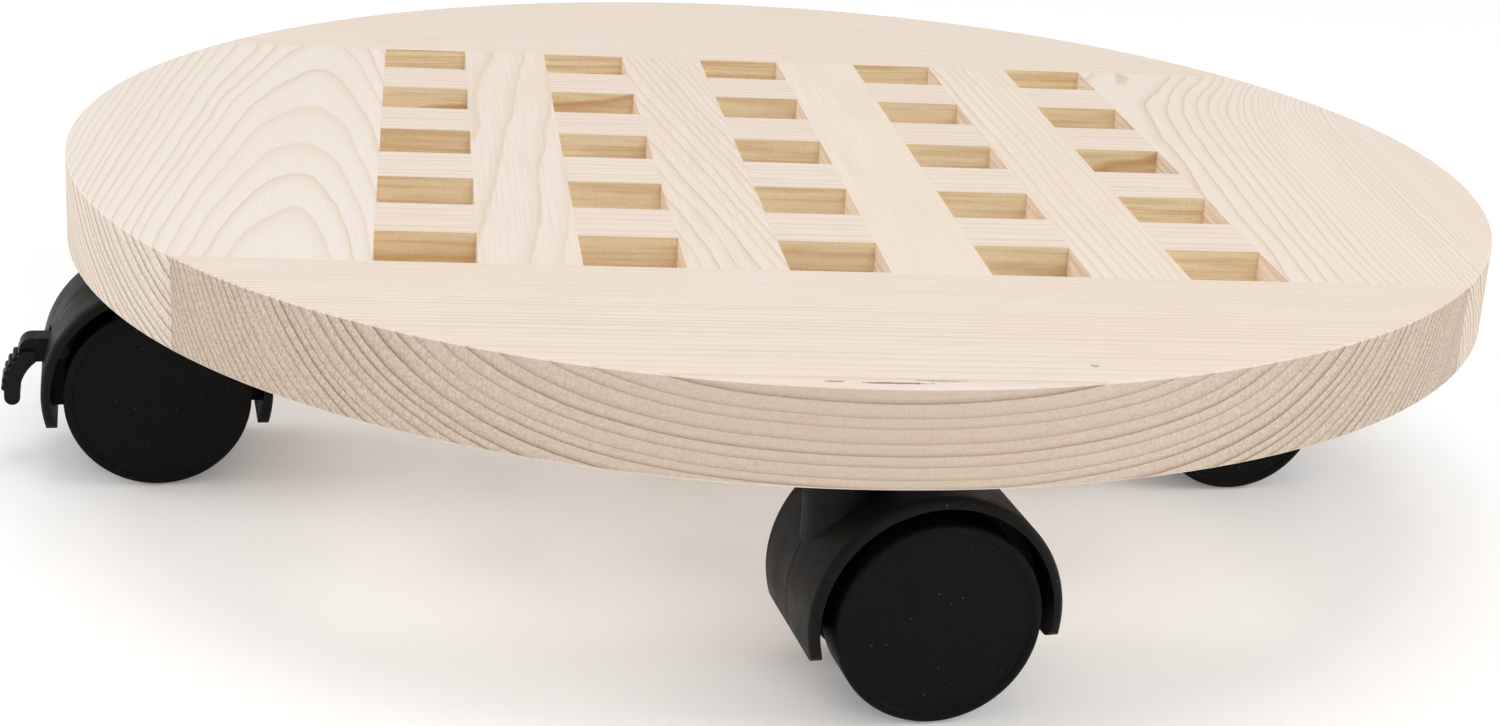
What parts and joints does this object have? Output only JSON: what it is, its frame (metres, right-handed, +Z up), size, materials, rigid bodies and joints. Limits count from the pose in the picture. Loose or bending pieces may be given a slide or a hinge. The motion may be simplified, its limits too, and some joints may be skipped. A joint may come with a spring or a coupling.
{
  "type": "plant pot caddy",
  "caption": "Round slatted pine deck on swivelling black twin-wheel casters, a rolling stand for a heavy plant pot.",
  "frame": {"origin": "on the floor, straight below the centre of the round deck", "axes": "+Z up out of the deck, +X along the cross slats to the right, +Y along the long slats to the back"},
  "size_m": [0.3149, 0.3081, 0.071],
  "materials": {
    "pine": "planed raw pine",
    "beech": "turned beech dowel",
    "zinc_steel": "bright zinc plate",
    "bright_steel": "drawn bright steel",
    "black_plastic": "fine textured moulded black",
    "black_plastic_wheel": "smooth moulded black"
  },
  "bodies": {
    "root": {"dowels": "beech", "front_board": "pine", "back_board": "pine", "left_board": "pine", "right_board": "pine", "long_slat_1": "pine", "long_slat_2": "pine", "long_slat_3": "pine", "long_slat_4": "pine", "cross_slat_1": "pine", "cross_slat_2": "pine", "cross_slat_3": "pine", "cross_slat_4": "pine", "front_top_plate": "zinc_steel", "front_screws": "zinc_steel", "front_kingpin": "bright_steel", "left_top_plate": "zinc_steel", "left_screws": "zinc_steel", "left_kingpin": "bright_steel", "right_top_plate": "zinc_steel", "right_screws": "zinc_steel", "right_kingpin": "bright_steel", "back_top_plate": "zinc_steel", "back_screws": "zinc_steel", "back_kingpin": "bright_steel"},
    "front_caster": {"front_hood": "black_plastic", "front_axle": "bright_steel"},
    "front_wheel_a": {"front_wheel_a": "black_plastic_wheel"},
    "front_wheel_b": {"front_wheel_b": "black_plastic_wheel"},
    "left_caster": {"left_hood": "black_plastic", "left_axle": "bright_steel", "left_brake_pin": "bright_steel"},
    "left_wheel_a": {"left_wheel_a": "black_plastic_wheel"},
    "left_wheel_b": {"left_wheel_b": "black_plastic_wheel"},
    "left_brake": {"left_brake_pedal": "black_plastic"},
    "right_caster": {"right_hood": "black_plastic", "right_axle": "bright_steel", "right_brake_pin": "bright_steel"},
    "right_wheel_a": {"right_wheel_a": "black_plastic_wheel"},
    "right_wheel_b": {"right_wheel_b": "black_plastic_wheel"},
    "right_brake": {"right_brake_pedal": "black_plastic"},
    "back_caster": {"back_hood": "black_plastic", "back_axle": "bright_steel"},
    "back_wheel_a": {"back_wheel_a": "black_plastic_wheel"},
    "back_wheel_b": {"back_wheel_b": "black_plastic_wheel"}
  },
  "joints": [
    {"name": "front_swivel", "type": "hinge", "parent": "root", "child": "front_caster", "pos_m": [-0.00141, -0.11519, 0.053], "axis": [0, 0, 1], "continuous": true},
    {"name": "front_wheel_a_spin", "type": "hinge", "parent": "front_caster", "child": "front_wheel_a", "pos_m": [0.01138, -0.1012, 0.0192], "axis": [-0.1305, 0.9914, 0], "continuous": true},
    {"name": "front_wheel_b_spin", "type": "hinge", "parent": "front_caster", "child": "front_wheel_b", "pos_m": [0.01456, -0.12539, 0.0192], "axis": [-0.1305, 0.9914, 0], "continuous": true},
    {"name": "left_swivel", "type": "hinge", "parent": "root", "child": "left_caster", "pos_m": [-0.11823, -0.00413, 0.053], "axis": [0, 0, 1], "continuous": true},
    {"name": "left_wheel_a_spin", "type": "hinge", "parent": "left_caster", "child": "left_wheel_a", "pos_m": [-0.13123, -0.01791, 0.0192], "axis": [0.1149, -0.9934, 0], "continuous": true},
    {"name": "left_wheel_b_spin", "type": "hinge", "parent": "left_caster", "child": "left_wheel_b", "pos_m": [-0.13403, 0.00632, 0.0192], "axis": [0.1149, -0.9934, 0], "continuous": true},
    {"name": "left_brake_press", "type": "hinge", "parent": "left_caster", "child": "left_brake", "pos_m": [-0.152, -0.00804, 0.026], "axis": [0.1149, -0.9934, 0], "range_deg": [0, 12]},
    {"name": "right_swivel", "type": "hinge", "parent": "root", "child": "right_caster", "pos_m": [0.1169, 0.00102, 0.053], "axis": [0, 0, 1], "continuous": true},
    {"name": "right_wheel_a_spin", "type": "hinge", "parent": "right_caster", "child": "right_wheel_a", "pos_m": [0.10382, -0.0127, 0.0192], "axis": [0.1097, -0.994, 0], "continuous": true},
    {"name": "right_wheel_b_spin", "type": "hinge", "parent": "right_caster", "child": "right_wheel_b", "pos_m": [0.10114, 0.01155, 0.0192], "axis": [0.1097, -0.994, 0], "continuous": true},
    {"name": "right_brake_press", "type": "hinge", "parent": "right_caster", "child": "right_brake", "pos_m": [0.0831, -0.00271, 0.026], "axis": [0.1097, -0.994, 0], "range_deg": [0, 12]},
    {"name": "back_swivel", "type": "hinge", "parent": "root", "child": "back_caster", "pos_m": [0, 0.117, 0.053], "axis": [0, 0, 1], "continuous": true},
    {"name": "back_wheel_a_spin", "type": "hinge", "parent": "back_caster", "child": "back_wheel_a", "pos_m": [-0.00588, 0.13501, 0.0192], "axis": [-0.9272, 0.3746, 0], "continuous": true},
    {"name": "back_wheel_b_spin", "type": "hinge", "parent": "back_caster", "child": "back_wheel_b", "pos_m": [0.01674, 0.12587, 0.0192], "axis": [-0.9272, 0.3746, 0], "continuous": true}
  ]
}
